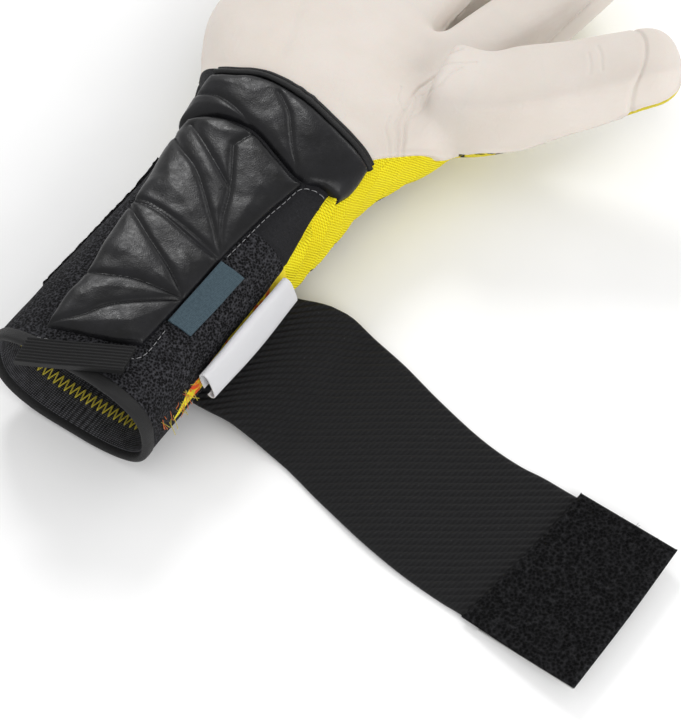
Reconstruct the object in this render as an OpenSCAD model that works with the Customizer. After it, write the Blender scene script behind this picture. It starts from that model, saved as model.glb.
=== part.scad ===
// Goalkeeper glove for the right hand, lying on its back: palm up, wrist strap undone.
// Units are millimetres. +Y runs from the wrist to the fingers, +X to the thumb and
// +Z out of the palm. The glove rests on z = 0, and y = 0 is the wrist crease.

/* [Cuff] */
// Width of the cuff, side seam to side seam
cuff_w = 72; // [68:1:76]
// Height of the open cuff
cuff_h = 46; // [42:1:48]
// Length of the cuff from the mouth to the wrist crease
cuff_len = 108; // [100:1:116]
// Thickness of the elastic knit
knit_t = 2; // [1.5:0.1:2.4]

/* [Palm] */
// How far the little finger's side of the palm stands out from the middle
palm_left = 68; // [64:1:70]
// How far the index finger's side of the palm stands out from the middle
palm_right = 47; // [45:1:49]
// Distance from the wrist crease to the knuckle line
palm_len = 114; // [110:1:118]
// Thickness of the foam latex palm
latex_t = 5; // [4:0.5:6]
// Thickness of the backhand
back_t = 3; // [2.5:0.5:4]
// Thickness of the embossed wrist and heel pads
pad_t = 4; // [3:0.5:4.5]

/* [Fingers] */
// Width of a finger stall at its root
finger_w = 29; // [27:0.5:30]
// Height of a finger stall at its root
finger_h = 27; // [25:1:30]
// Angle between neighbouring fingers
finger_fan = 11; // [10:0.5:12]
// Length of the middle finger stall
middle_len = 90; // [84:1:94]
// Length of the thumb stall
thumb_len = 76; // [72:1:80]

/* [Strap] */
// Width of the elastic wrist strap
strap_w = 64; // [60:1:66]
// Thickness of the strap
strap_t = 2; // [1.6:0.1:2.4]
// Width of the hook patch on the strap's end
patch_w = 70; // [68:1:74]
// Length of the hook patch
patch_len = 47; // [42:1:48]

/* [Hidden] */
FINGERS = ["index", "middle", "ring", "little", "thumb"];
SECTIONS = ["lower", "tip"];

latex_colour = [0.92, 0.89, 0.84];
pad_colour = [0.09, 0.09, 0.10];
knit_colour = [0.06, 0.06, 0.07];
yellow = [0.96, 0.86, 0.08];
lining_colour = [0.80, 0.80, 0.78];
label_grey = [0.29, 0.35, 0.38];
label_white = [0.93, 0.93, 0.94];

clear = 0.5;           // space between neighbouring soft pieces
rest_gap = 2;          // height of the shell above the floor, on its pads
hand_round = 0.7;      // how square the hand's cross-section is, from 0.5 (square) to 1 (oval)
finger_round = 0.5;    // the same for the finger stalls
seam_u = 24;           // half the angle that a side gusset takes up in the hand's section
corner_u = 40;         // half the angle that a side gusset takes up in a finger's section
pad_end = 41;          // where the heel pad ends on the palm
latex_start = 46;      // where the latex of the palm starts
wrist_cut = -14;       // where the cuff's knit meets the hand
lining_t = 1;

// ---- the hand's shell -------------------------------------------------------

// Rows of [station along Y, extent to the left, extent to the right, height].
shell_rows = [
    [-cuff_len, cuff_w / 2, cuff_w / 2, cuff_h],
    [-60, cuff_w / 2 - 0.5, cuff_w / 2 - 0.5, cuff_h - 1],
    [wrist_cut, cuff_w / 2 - 1, cuff_w / 2, cuff_h - 2],
    [20, 39, 37, cuff_h - 1],
    [latex_start, 50, 42, cuff_h],
    [58, 58, 49, cuff_h],
    [70, 64, 54, cuff_h - 1],
    [88, palm_left - 1, 53, cuff_h - 4],
    [102, palm_left, 50, cuff_h - 6],
    [palm_len, palm_left, palm_right, cuff_h - 8]
];
fan_x = (palm_right - palm_left) / 2;
fan_r = finger_w * 57.3 / finger_fan + 6;

function extent(y, column) = lookup(y, [for (r = shell_rows) [r[0], r[column]]]);
function soft(c, round) = sign(c) * pow(abs(c), round);

// The knuckle line is an arc, and the palm's stations bend into it.
function knuckle_arc(x) = sqrt(pow(fan_r, 2) - pow(x - fan_x, 2)) - fan_r;
function arc_share(y) = y < latex_start ? 0 : pow((y - latex_start) / (palm_len - latex_start), 2);

// A point of the shell: station y, angle u about the axis from the thumb's side, depth d.
function shell_point(y, u, d) =
    let (left = extent(y, 1), right = extent(y, 2), h = extent(y, 3))
    let (x = (right - left) / 2 + ((right + left) / 2 - d) * soft(cos(u), hand_round))
    [x, y + arc_share(y) * knuckle_arc(x), rest_gap + h / 2 + (h / 2 - d) * soft(sin(u), hand_round)];

// ---- solids from grids of points --------------------------------------------

// A closed sheet between two grids of points, outer and inner, of the same size.
module sheet(outer, inner) {
    rows = len(outer);
    cols = len(outer[0]);
    function id(side, i, j) = (side * rows + i) * cols + j;
    cells = [for (i = [0:rows - 2], j = [0:cols - 2]) [i, j]];
    polyhedron(
        points = concat([for (r = outer) each r], [for (r = inner) each r]),
        faces = concat(
            [for (c = cells) each quad(id(0, c[0], c[1]), id(0, c[0], c[1] + 1),
                                       id(0, c[0] + 1, c[1] + 1), id(0, c[0] + 1, c[1]))],
            [for (c = cells) each quad(id(1, c[0], c[1]), id(1, c[0] + 1, c[1]),
                                       id(1, c[0] + 1, c[1] + 1), id(1, c[0], c[1] + 1))],
            [for (j = [0:cols - 2]) each quad(id(0, 0, j + 1), id(0, 0, j), id(1, 0, j), id(1, 0, j + 1))],
            [for (j = [0:cols - 2]) each quad(id(0, rows - 1, j), id(0, rows - 1, j + 1),
                                              id(1, rows - 1, j + 1), id(1, rows - 1, j))],
            [for (i = [0:rows - 2]) each quad(id(0, i, 0), id(0, i + 1, 0), id(1, i + 1, 0), id(1, i, 0))],
            [for (i = [0:rows - 2]) each quad(id(0, i + 1, cols - 1), id(0, i, cols - 1),
                                              id(1, i, cols - 1), id(1, i + 1, cols - 1))]
        )
    );
}
function quad(a, b, c, d) = [[a, b, c], [a, c, d]];

// Evenly spaced values from a to b.
function steps(a, b, n) = [for (i = [0:n]) a + (b - a) * i / n];

// A panel of the hand's shell. Its side edges can differ at its two ends, and slant tilts
// its lower edge across the cuff.
module shell_panel(y_from, y_to, u_from, u_to, depth, thickness, rows = 6, cols = 10, slant = 0) {
    function grid(d) = [for (t = steps(0, 1, rows))
        [for (c = steps(0, 1, cols))
            let (y = y_from + (y_to - y_from) * t)
            let (u = blend(u_from, t) + (blend(u_to, t) - blend(u_from, t)) * c)
            let (p = shell_point(y, u, d))
            p + [0, slant * p[0] * (1 - t), 0]]];
    sheet(grid(depth), grid(depth + thickness));
}
// Either one value, or the share t of the way between two.
function blend(v, t) = is_list(v) ? v[0] + (v[1] - v[0]) * t : v;

// ---- the hand ---------------------------------------------------------------

module palm_latex()
    color(latex_colour)
        shell_panel(latex_start + clear, palm_len, seam_u + 1, 179 - seam_u, 0, latex_t, 8, 12);

module palm_lining()
    color(lining_colour)
        shell_panel(0, palm_len, seam_u + 2, 178 - seam_u, latex_t + clear, lining_t, 9, 10);

module heel_pad()
    color(pad_colour)
        shell_panel(14, pad_end, 34, 147, -pad_t - clear, pad_t, 3, 12);

module heel_binding()
    color(pad_colour)
        shell_panel(pad_end + clear, latex_start, 33, 147, -2 - clear, 2, 1, 12);

module heel_neoprene()
    color(knit_colour)
        shell_panel(wrist_cut + clear, latex_start, seam_u + 1, 179 - seam_u, 0, knit_t, 5, 12);

module backhand_panel()
    color(yellow)
        shell_panel(wrist_cut + clear, palm_len, 181 + seam_u, 359 - seam_u, 0, back_t, 9, 10);

module backhand_lining()
    color(lining_colour)
        shell_panel(0, palm_len, 182 + seam_u, 358 - seam_u, back_t + clear, lining_t, 9, 10);

module little_side_gusset()
    color(yellow)
        shell_panel(wrist_cut + clear, palm_len, 180 - seam_u, 180 + seam_u, 0, back_t, 9, 4);

module thumb_side_gusset()
    color(yellow)
        shell_panel(wrist_cut + clear, 67, -seam_u, seam_u, 0, back_t, 6, 4);

// The band between the hole in the hand's side and the thumb, and the web next to the index finger.
module thumb_collar()
    color(latex_colour) {
        stall_panel(4, "collar", 0.5, 359.5, back_t, 20);
        shell_panel(palm_len - 6, palm_len - 1, -seam_u, seam_u, 0, back_t, 1, 4);
    }

// Raised pads over the knuckles and the back of the hand: the glove lies on them.
pad_height = rest_gap - 0.3;
module punch_pads()
    color(pad_colour) {
        for (k = [0:3])
            let (a = finger_yaw(k), r = fan_r - 19)
            translate([fan_x + r * sin(a), palm_len - fan_r + r * cos(a), 0])
                rotate([0, 0, -a])
                    round_bar(15, 24);
        translate([-2, 24, 0]) round_bar(34, 62);
    }
// A flat bar with round corners, centred on X and Y.
module round_bar(w, l) {
    r = 5;
    linear_extrude(pad_height)
        union() {
            square([w - 2 * r, l], center = true);
            square([w, l - 2 * r], center = true);
            for (x = [-1, 1], y = [-1, 1])
                translate([x * (w / 2 - r), y * (l / 2 - r)]) circle(r, $fn = 24);
        }
}

// ---- the cuff ---------------------------------------------------------------

module cuff_knit_top()
    color(knit_colour)
        shell_panel(-cuff_len, wrist_cut, 0.5, 179.5, 0, knit_t, 4, 16);

module cuff_knit_bottom()
    color(knit_colour)
        shell_panel(-cuff_len, wrist_cut, 180.5, 359.5, 0, knit_t, 4, 16);

module cuff_facing()
    color(knit_colour)
        for (u = [0, 180])
            shell_panel(-cuff_len, -84, u + 0.5, u + 179.5, knit_t + clear, lining_t, 1, 16);

module mouth_binding()
    color(knit_colour)
        for (u = [0, 180])
            shell_panel(-cuff_len - 3, -cuff_len - 0.4, u + 0.5, u + 179.5, -0.6, knit_t + 1.8, 1, 16);

// The long pad down the wrist. Its lower edge slants towards the little finger's side.
module wrist_pad()
    color(pad_colour)
        shell_panel(-98, 13, [67, 62], [108, 138], -pad_t - clear, pad_t, 6, 10, slant = 0.5);

module cuff_side_strip()
    color(yellow)
        shell_panel(-98, -17, [-9, 4], [-1, 18], -1.2 - clear, 1.2, 4, 2);

// A moulded rubber badge under the cuff.
module cuff_badge()
    color(pad_colour)
        translate([0, -64, 0]) round_bar(40, 56);

// Loop fabric on the little finger's side, where the strap's hook patch lands.
module loop_patch()
    color(knit_colour)
        shell_panel(-76, -2, 166, 216, -1.5, 1.2, 3, 5);

// ---- what hangs on the cuff ---------------------------------------------------

tab_angle = 28;
tab_size = [41, 11, 2.6];
tab_y = -100;
module pull_tab()
    color(knit_colour)
        translate([0, tab_y, rest_gap + cuff_h + 0.8])
            rotate([0, 0, tab_angle])
                translate([-tab_size[0] / 2, -tab_size[1], 0])
                    cube(tab_size);

module side_label()
    color(label_grey)
        shell_panel(-72, -37, 43, 63, -1.4, 0.9, 3, 3);

// The care label is a flat roll of white satin, open on its lower, inner side.
care_y = [-77, -23];
care_centre = [41.6, 26];
care_round = 2.6;
care_h = 11;
module care_label()
    color(label_white)
        translate([care_centre[0], care_y[1], care_centre[1]])
            rotate([90, 0, 0])
                linear_extrude(care_y[1] - care_y[0])
                    difference() {
                        roll_outline(care_round);
                        roll_outline(care_round - 0.6);
                        translate([-care_round - 1, -care_h / 2 - 1]) square([care_round + 1, 5]);
                    }
module roll_outline(r) {
    square([2 * r, care_h - 2 * care_round], center = true);
    for (side = [-1, 1])
        translate([0, side * (care_h / 2 - care_round)]) circle(r, $fn = 32);
}

// ---- the strap ----------------------------------------------------------------

strap_yaw = -6;                        // the strap leans a little towards the elbow
strap_y = -46;
strap_x = cuff_w / 2 + 10;             // its first fold, outside the care label
strap_z = 10;
strap_runs = [24, 31, 42, 27, 50];     // length of each stretch between two folds
strap_slopes = [-asin((strap_z - strap_t) / strap_runs[0]), 0, 0, 0, 6];
strap_gap = 0.4;

// Where stretch i starts: its distance from the first fold and its upper face's height.
function strap_start(i) =
    i == 0 ? [0, strap_z] :
    strap_start(i - 1) + strap_runs[i - 1] * [cos(strap_slopes[i - 1]), sin(strap_slopes[i - 1])];

// Puts its children on stretch i, with X along it and z = 0 on its upper face.
module on_strap(i)
    translate([strap_x, strap_y, 0])
        rotate([0, 0, strap_yaw])
            translate([strap_start(i)[0], 0, strap_start(i)[1]])
                rotate([0, -strap_slopes[i], 0])
                    children();

module strap_stretch(i)
    color(knit_colour)
        on_strap(i)
            translate([strap_gap, -strap_w / 2, -strap_t])
                cube([strap_runs[i] - 2 * strap_gap, strap_w, strap_t]);

// The strap's sewn end stands out from the side seam to the first fold.
seam_x = cuff_w / 2 - 3.6;
module strap_anchor()
    color(knit_colour)
        translate([0, 0, strap_z - strap_t])
            linear_extrude(strap_t)
                polygon([[seam_x, fold_end(-1)[1]], fold_end(-1), fold_end(1), [seam_x, fold_end(1)[1]]]);
function fold_end(side) =
    let (x = -strap_gap, y = side * (strap_w / 2 - 2))
    [strap_x + x * cos(strap_yaw) - y * sin(strap_yaw), strap_y + x * sin(strap_yaw) + y * cos(strap_yaw)];

module hook_patch()
    color(knit_colour)
        on_strap(4)
            translate([strap_runs[4] - patch_len, -patch_w / 2, 0.2])
                cube([patch_len, patch_w, 1.4]);

module strap_end_backing()
    color(label_white)
        on_strap(4)
            translate([strap_runs[4] - patch_len + 10, -strap_w / 2, -strap_t - 1])
                cube([patch_len - 10, strap_w, 0.8]);

// ---- the finger stalls ----------------------------------------------------------

// The point where finger k (0 is the index finger) leaves the knuckle line.
function finger_yaw(k) = finger_fan * (1.5 - k);
function root_on_arc(k) =
    [fan_x + (fan_r + 1.5) * sin(finger_yaw(k)),
     palm_len - fan_r + (fan_r + 1.5) * cos(finger_yaw(k)),
     rest_gap + cuff_h - 8];

// [0 root on the palm's side, 1 yaw, 2 yaw of the root's section, 3 lengths, 4 pitches,
//  5 widths and 6 heights at the root, past it, at the fold and at the tip]
function finger(k) =
    k == 4
        ? [[54, 88, rest_gap + cuff_h + 7], 52, 80, [0.45, 0.55] * thumb_len, [6, 13],
           [for (d = [7, 8, 3, -1]) finger_w + d],
           [cuff_h - 6, cuff_h - 11, finger_h + 2, finger_h - 2]]
        : let (share = [0.96, 1, 0.94, 0.8][k], w = finger_w - (k == 3 ? 2 : 0))
          [root_on_arc(k), finger_yaw(k), finger_yaw(k), [0.5, 0.5] * share * middle_len, [3, 10],
           [finger_w, w, w - 1, w - 3], [cuff_h - 9, finger_h + 3, finger_h, finger_h - 3]];

function along(yaw, pitch) = [sin(yaw) * cos(pitch), cos(yaw) * cos(pitch), sin(pitch)];
function across(yaw) = [cos(yaw), -sin(yaw), 0];
function upward(yaw, pitch) = cross(across(yaw), along(yaw, pitch));

// One section of a stall: [point on the palm's side, across, up, half width, half height,
// drop from the point to the section's centre].
function row(point, side, up, w, h, drop) = [point, side, up, w / 2, h / 2, drop / 2];
function stall_rows(k, section) =
    let (f = finger(k), a = along(f[1], f[4][0]), up = upward(f[1], f[4][0]))
    let (mid = f[0] + f[3][0] * a, side = across(f[1]), fold = upward(f[1], (f[4][0] + f[4][1]) / 2))
    section == "collar" ? [for (s = [2, 0.4])
        row(f[0] - s * along(f[2], 0) - [0, 0, 2 * (s - 1)], across(f[2]), [0, 0, 1],
            f[5][0], f[6][0], f[6][0])] :
    section == "lower" ? [
        row(f[0], across(f[2]), [0, 0, 1], f[5][0], f[6][0], f[6][0]),
        row(f[0] + 0.35 * f[3][0] * a, side, up, f[5][1], f[6][1], f[6][1]),
        row(mid - clear * a, side, fold, f[5][2], f[6][2], f[6][2])
    ] : tip_rows(mid, f, side, fold);
tip_round = 12;
function tip_rows(mid, f, side, fold) =
    let (a = along(f[1], f[4][1]), up = upward(f[1], f[4][1]), l = f[3][1])
    [row(mid + clear * a, side, fold, f[5][2], f[6][2], f[6][2]),
     for (s = [l - tip_round, l - 6, l - 2.5, l])
         let (over = sqrt(1 - pow((s - l + tip_round) / 15, 2)))
         row(mid + s * a, side, up, f[5][3] * over, f[6][3] * over, f[6][3])];

function stall_point(r, u, d) =
    r[0] - r[2] * r[5]
    + r[1] * (r[3] - d) * soft(cos(u), finger_round)
    + r[2] * (r[4] - d) * soft(sin(u), finger_round);

module stall_panel(k, section, u_from, u_to, thickness, cols = 6) {
    function grid(d) = [for (r = stall_rows(k, section))
        [for (u = steps(u_from, u_to, cols)) stall_point(r, u, d)]];
    sheet(grid(0), grid(thickness));
}

module stall_latex(k, section)
    color(latex_colour)
        stall_panel(k, section, corner_u + 1.5, 178.5 - corner_u, latex_t);

module stall_back(k, section)
    color(yellow)
        stall_panel(k, section, 181.5 + corner_u, 358.5 - corner_u, back_t);

// The strip between palm and back: down one side, round the fingertip and up the other.
module stall_gusset(k, section)
    color(latex_colour) {
        for (u = [0, 180])
            stall_panel(k, section, u - corner_u, u + corner_u, 2.5, 4);
        if (section == "tip")
            stall_end(k);
    }

module stall_end(k) {
    f = finger(k);
    end = stall_rows(k, "tip")[4];
    function grid(s, share) = [for (v = [-1, 0, 1]) [for (w = [1, 0, -1])
        end[0] - end[2] * end[5] + s * along(f[1], f[4][1])
        + end[1] * w * share * end[3] + end[2] * v * share * end[4]]];
    sheet(grid(0.3, 0.8), grid(2.5, 0.6));
}

// ---- the nodes ------------------------------------------------------------------

palm_latex();
palm_lining();
heel_pad();
heel_binding();
heel_neoprene();
backhand_panel();
backhand_lining();
punch_pads();
little_side_gusset();
thumb_side_gusset();
thumb_collar();
cuff_knit_top();
cuff_knit_bottom();
cuff_facing();
mouth_binding();
wrist_pad();
cuff_side_strip();
cuff_badge();
strap_anchor();
loop_patch();
pull_tab();
side_label();
care_label();
strap_stretch(0);  // strap_root
strap_stretch(1);  // strap_inner
strap_stretch(2);  // strap_middle
strap_stretch(3);  // strap_outer
strap_stretch(4);  // strap_end
hook_patch();
strap_end_backing();
for (k = [0:4], s = SECTIONS) {
    stall_latex(k, s);
    stall_back(k, s);
    stall_gusset(k, s);
}
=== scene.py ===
"""Looks of a goalkeeper glove for the right hand, lying palm up with its wrist strap undone.

All shapes are worked out in millimetres in the frame of the CAD model and are written to
Blender in metres. +Y runs from the cuff to the fingers, +X to the thumb, +Z out of the palm.
"""

import math

import bpy
import numpy as np
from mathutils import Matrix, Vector


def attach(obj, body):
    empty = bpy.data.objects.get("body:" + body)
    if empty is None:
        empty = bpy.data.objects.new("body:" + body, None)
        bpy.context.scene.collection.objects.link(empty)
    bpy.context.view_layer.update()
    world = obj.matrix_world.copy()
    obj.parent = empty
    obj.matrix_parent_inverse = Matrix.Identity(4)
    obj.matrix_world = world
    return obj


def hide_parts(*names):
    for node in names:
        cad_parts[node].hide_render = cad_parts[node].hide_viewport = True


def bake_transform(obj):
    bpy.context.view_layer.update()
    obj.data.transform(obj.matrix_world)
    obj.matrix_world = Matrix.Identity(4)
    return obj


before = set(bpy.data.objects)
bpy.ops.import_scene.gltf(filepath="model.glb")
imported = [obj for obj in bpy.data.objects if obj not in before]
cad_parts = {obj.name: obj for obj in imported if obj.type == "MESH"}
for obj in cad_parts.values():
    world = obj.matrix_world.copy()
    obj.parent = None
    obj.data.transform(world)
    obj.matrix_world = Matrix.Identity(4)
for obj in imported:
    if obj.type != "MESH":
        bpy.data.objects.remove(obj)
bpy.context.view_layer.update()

MM = 0.001
RNG = np.random.default_rng(11)
SKIN_CLOTH, RING_CLOTH = 0.6, 0.55  # millimetres of cloth to a degree round the skin, and the cuff

# ---- the hand's shell, as in the CAD model -------------------------------------

CUFF_LEN, PALM_LEN, LATEX_START, WRIST_CUT, REST_GAP = 108.0, 114.0, 46.0, -18.0, 2.0
HAND_ROUND, FINGER_ROUND = 0.7, 0.5
# Station along Y, extent to the left, extent to the right, height
ROWS = np.array([
    [-108, 36, 36, 46], [-60, 35.5, 35.5, 45], [-14, 35, 36, 44], [20, 39, 37, 45],
    [46, 50, 42, 46], [58, 58, 49, 46], [70, 64, 54, 45], [88, 67, 53, 42],
    [102, 68, 50, 40], [114, 68, 47, 38],
], float)
FAN_X = -10.5
FAN_R = 29 * 57.3 / 11 + 6
FAN_Y = PALM_LEN - FAN_R


def soft(c, power):
    return np.sign(c) * np.abs(c) ** power


def rounded(y, stations, values, reach):
    """Linear interpolation whose corners are rounded over a reach to both sides."""
    shifts = np.array([-1, -0.33, 0.33, 1]) * reach
    return np.mean([np.interp(np.asarray(y, float) + s, stations, values) for s in shifts], axis=0)


def row(y, column):
    return rounded(y, ROWS[:, 0], ROWS[:, column], 9)


def knuckle_arc(x):
    return np.sqrt(FAN_R**2 - np.clip(np.asarray(x) - FAN_X, -150, 150) ** 2) - FAN_R


def arc_share(y):
    return np.clip((y - LATEX_START) / (PALM_LEN - LATEX_START), 0, 1.3) ** 2


def shell(y, u, d=0.0):
    """Point of the hand's shell at station y, angle u in degrees from the thumb's side, depth d."""
    y, u, d = np.broadcast_arrays(np.asarray(y, float), np.asarray(u, float), np.asarray(d, float))
    left, right, h = row(y, 1), row(y, 2), row(y, 3)
    c, s = np.cos(np.radians(u)), np.sin(np.radians(u))
    x = (right - left) / 2 + ((right + left) / 2 - d) * soft(c, HAND_ROUND)
    z = REST_GAP + h / 2 + (h / 2 - d) * soft(s, HAND_ROUND)
    return np.stack([x, y + arc_share(y) * knuckle_arc(x), z], -1)


def shell_coords(p):
    """The station and the angle of points near the hand's shell."""
    y = p[:, 1].copy()
    for _ in range(8):
        y = p[:, 1] - arc_share(y) * knuckle_arc(p[:, 0])
    left, right, h = row(y, 1), row(y, 2), row(y, 3)
    x = (p[:, 0] - (right - left) / 2) / ((right + left) / 2)
    z = (p[:, 2] - REST_GAP - h / 2) / (h / 2)
    return y, np.degrees(np.arctan2(soft(z, 1 / HAND_ROUND), soft(x, 1 / HAND_ROUND)))


def on_top(x, y, d=0.0):
    """Point above (x, y) on the palm's side of the shell, depth d under it."""
    left, right = row(y, 1), row(y, 2)
    c = np.clip((x - (right - left) / 2) / ((right + left) / 2), -0.999, 0.999)
    return shell(y, np.degrees(np.arccos(soft(c, 1 / HAND_ROUND))), d)


# ---- the finger stalls, as in the CAD model --------------------------------------

NAMES = ["index", "middle", "ring", "little", "thumb"]
THUMB = 4


def along(yaw, pitch):
    yaw, pitch = np.radians(yaw), np.radians(pitch)
    return np.stack([np.sin(yaw) * np.cos(pitch), np.cos(yaw) * np.cos(pitch),
                     np.sin(pitch) * np.ones_like(yaw)], -1)


def across(yaw):
    yaw = np.radians(yaw)
    return np.stack([np.cos(yaw), -np.sin(yaw), np.zeros_like(yaw)], -1)


def stall(k):
    if k == THUMB:
        return dict(root=np.array([54, 88, 55.0]), yaw=52.0, section=80.0, run=[34.2, 41.8],
                    pitch=[6, 13], wide=[36, 37, 32, 28], high=[40, 35, 29, 25])
    yaw, share = 11 * (1.5 - k), [0.96, 1, 0.94, 0.8][k]
    root = np.array([FAN_X, FAN_Y, 40]) + (FAN_R + 1.5) * np.array([math.sin(math.radians(yaw)),
                                                                    math.cos(math.radians(yaw)), 0])
    w = 27 if k == 3 else 29
    return dict(root=root, yaw=yaw, section=yaw, run=[45 * share, 45 * share], pitch=[3, 10],
                wide=[29, w, w - 1, w - 3], high=[37, 30, 27, 24])


STALLS = [stall(k) for k in range(5)]
TIP_ROUND, TIP_OVER = 12.0, 2.5


def stall_line(f, s):
    """Points of the stall's line on the palm's side, s millimetres from its root."""
    a0, a1, run = along(f["yaw"], f["pitch"][0]), along(f["yaw"], f["pitch"][1]), f["run"][0]
    back = along(f["section"], 0)
    s = np.asarray(s, float)[..., None]
    return (f["root"] + np.clip(s, 0, run) * a0 + np.maximum(s - run, 0) * a1 + np.minimum(s, 0) * back)


def stall_frame(f, s):
    """Centre, side and up directions, and half sizes of the stall's section at s."""
    s = np.asarray(s, float)
    run, total = f["run"][0], sum(f["run"])
    line = np.mean([stall_line(f, s + e) for e in (-4, 0, 4)], axis=0)
    yaw = rounded(s, [0, 0.5 * run], [f["section"], f["yaw"]], 3)
    pitch = rounded(s, [0, 0.35 * run, run - 5, run + 5], [0, *np.repeat(f["pitch"], [2, 1])], 3)
    side, up = across(yaw), np.cross(across(yaw), along(yaw, pitch))
    stations = [0, 0.35 * run, run, total - TIP_ROUND]
    w, h = (rounded(s, stations, f[key], 4) / 2 for key in ("wide", "high"))
    over = np.clip((s - total + TIP_ROUND) / (TIP_ROUND + TIP_OVER), 0, 0.999)
    over = (1 - over**2.4) ** (1 / 2.4)
    return line - up * h[..., None], side, up, w * over, h * over


def stall_coords(p, f):
    """Distance along a stall and angle about it, of points near it."""
    a0, a1, run = along(f["yaw"], f["pitch"][0]), along(f["yaw"], f["pitch"][1]), f["run"][0]
    s = (p - f["root"]) @ a0
    s = np.where(s > run, run + (p - f["root"] - run * a0) @ a1, s)
    centre, side, up, w, h = stall_frame(f, s)
    x = ((p - centre) * side).sum(-1) / np.maximum(w, 3)
    z = ((p - centre) * up).sum(-1) / np.maximum(h, 3)
    return s, np.degrees(np.arctan2(soft(z, 2), soft(x, 2)))


# ---- noise and lines ---------------------------------------------------------------

LATTICE = np.random.default_rng(5).random((32, 32, 32))


def noise(p, size):
    """Smooth noise from -1 to 1 with features of the given size in millimetres."""
    q = np.asarray(p, float) / size + 57.3
    i = np.floor(q).astype(int)
    f = q - i
    f = f * f * (3 - 2 * f)
    total = np.zeros(q.shape[:-1])
    for corner in range(8):
        bit = np.array([corner >> 2 & 1, corner >> 1 & 1, corner & 1])
        cell = (i + bit) % 32
        weight = np.prod(np.where(bit, f, 1 - f), axis=-1)
        total += weight * LATTICE[cell[..., 0], cell[..., 1], cell[..., 2]]
    return 2 * total - 1


def smoothstep(x, low, high):
    t = np.clip((x - low) / (high - low), 0, 1)
    return t * t * (3 - 2 * t)


def spline(points, n):
    """n points evenly along a smooth curve through the given ones."""
    p = np.asarray(points, float)
    ext = np.vstack([2 * p[0] - p[1], p, 2 * p[-1] - p[-2]])
    out = []
    for a, b, c, d in zip(ext, ext[1:], ext[2:], ext[3:]):
        t = np.linspace(0, 1, 16, endpoint=False)[:, None]
        out.append(0.5 * (2 * b + (c - a) * t + (2 * a - 5 * b + 4 * c - d) * t**2
                          + (3 * b - a - 3 * c + d) * t**3))
    out = np.vstack([*out, p[-1:]])
    length = np.r_[0, np.cumsum(np.linalg.norm(np.diff(out, axis=0), axis=1))]
    at = np.linspace(0, length[-1], n)
    return np.stack([np.interp(at, length, out[:, i]) for i in range(p.shape[1])], -1)


def distance_to(p, line):
    """Distance from points to a line of points, in as many dimensions as the line has."""
    best = np.full(p.shape[:-1], 1e9)
    for a, b in zip(line, line[1:]):
        ab = b - a
        t = np.clip(((p - a) @ ab) / max(ab @ ab, 1e-9), 0, 1)
        best = np.minimum(best, np.linalg.norm(p - a - t[..., None] * ab, axis=-1))
    return best


# ---- meshes ------------------------------------------------------------------------

def build(name, points, faces, material, cloth=None, normals=None):
    """A mesh object from points in millimetres. cloth gives each point's place in the
    fabric, and normals the shading normals of the faces' corners (zero keeps its own)."""
    me = bpy.data.meshes.new(name)
    size = faces.shape[1]
    me.vertices.add(len(points))
    me.vertices.foreach_set("co", (np.asarray(points) * MM).astype(np.float32).ravel())
    me.loops.add(faces.size)
    me.loops.foreach_set("vertex_index", faces.astype(np.int32).ravel())
    me.polygons.add(len(faces))
    me.polygons.foreach_set("loop_start", np.arange(0, faces.size, size, dtype=np.int32))
    me.polygons.foreach_set("use_smooth", np.ones(len(faces), bool))
    me.update(calc_edges=True)
    if cloth is not None:
        field = me.attributes.new("cloth", "FLOAT_VECTOR", "POINT")
        flat = np.zeros((len(points), 3), np.float32)
        flat[:, :cloth.shape[1]] = cloth
        field.data.foreach_set("vector", flat.ravel())
    if normals is not None:
        me.normals_split_custom_set(normals.astype(np.float32).tolist())
    obj = bpy.data.objects.new(name, me)
    bpy.context.scene.collection.objects.link(obj)
    me.materials.append(material)
    return obj


def grid_faces(rows, cols, closed=False):
    i, j = np.meshgrid(np.arange(rows - 1), np.arange(cols if closed else cols - 1), indexing="ij")
    k = (j + 1) % cols
    return np.stack([i * cols + j, i * cols + k, (i + 1) * cols + k, (i + 1) * cols + j],
                    -1).reshape(-1, 4)


def border(faces):
    """The directed edges that only one face has."""
    edges = np.stack([faces, np.roll(faces, -1, axis=1)], -1).reshape(-1, 2)
    big = faces.max() + 1
    forth, back = edges[:, 0] * big + edges[:, 1], edges[:, 1] * big + edges[:, 0]
    return edges[~np.isin(forth, back)]


def point_normals(points, faces):
    a, b, c = (points[faces[:, i]] for i in (0, 1, 2))
    normal = np.cross(b - a, c - a)
    if faces.shape[1] == 4:
        normal = np.cross(c - a, points[faces[:, 3]] - b)
    out = np.zeros_like(points)
    for i in range(faces.shape[1]):
        for axis in range(3):
            out[:, axis] += np.bincount(faces[:, i], normal[:, axis], len(points))
    return out / np.maximum(np.linalg.norm(out, axis=1), 1e-12)[:, None]


def thick(name, outer, inner, faces, material, normals, cloth=None):
    """A closed piece between an outer and an inner surface with the same faces."""
    n, edges = len(outer), border(faces)
    a, b = edges[:, 0], edges[:, 1]
    points = np.vstack([outer, inner])
    if faces.shape[1] == 4:
        rim = np.stack([b, a, a + n, b + n], -1)
    else:
        rim = np.vstack([np.stack([b, a, a + n], -1), np.stack([b, a + n, b + n], -1)])
    every = np.vstack([faces, faces[:, ::-1] + n, rim])
    corner = points[rim]
    flat = np.cross(corner[:, 1] - corner[:, 0], corner[:, 2] - corner[:, 0])
    flat /= np.maximum(np.linalg.norm(flat, axis=1), 1e-12)[:, None]
    shading = np.vstack([
        normals[faces].reshape(-1, 3), -normals[faces[:, ::-1]].reshape(-1, 3),
        np.repeat(flat, rim.shape[1], axis=0),
    ])
    both = None if cloth is None else np.vstack([cloth, cloth])
    return build(name, points, every, material, both, shading)


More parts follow.
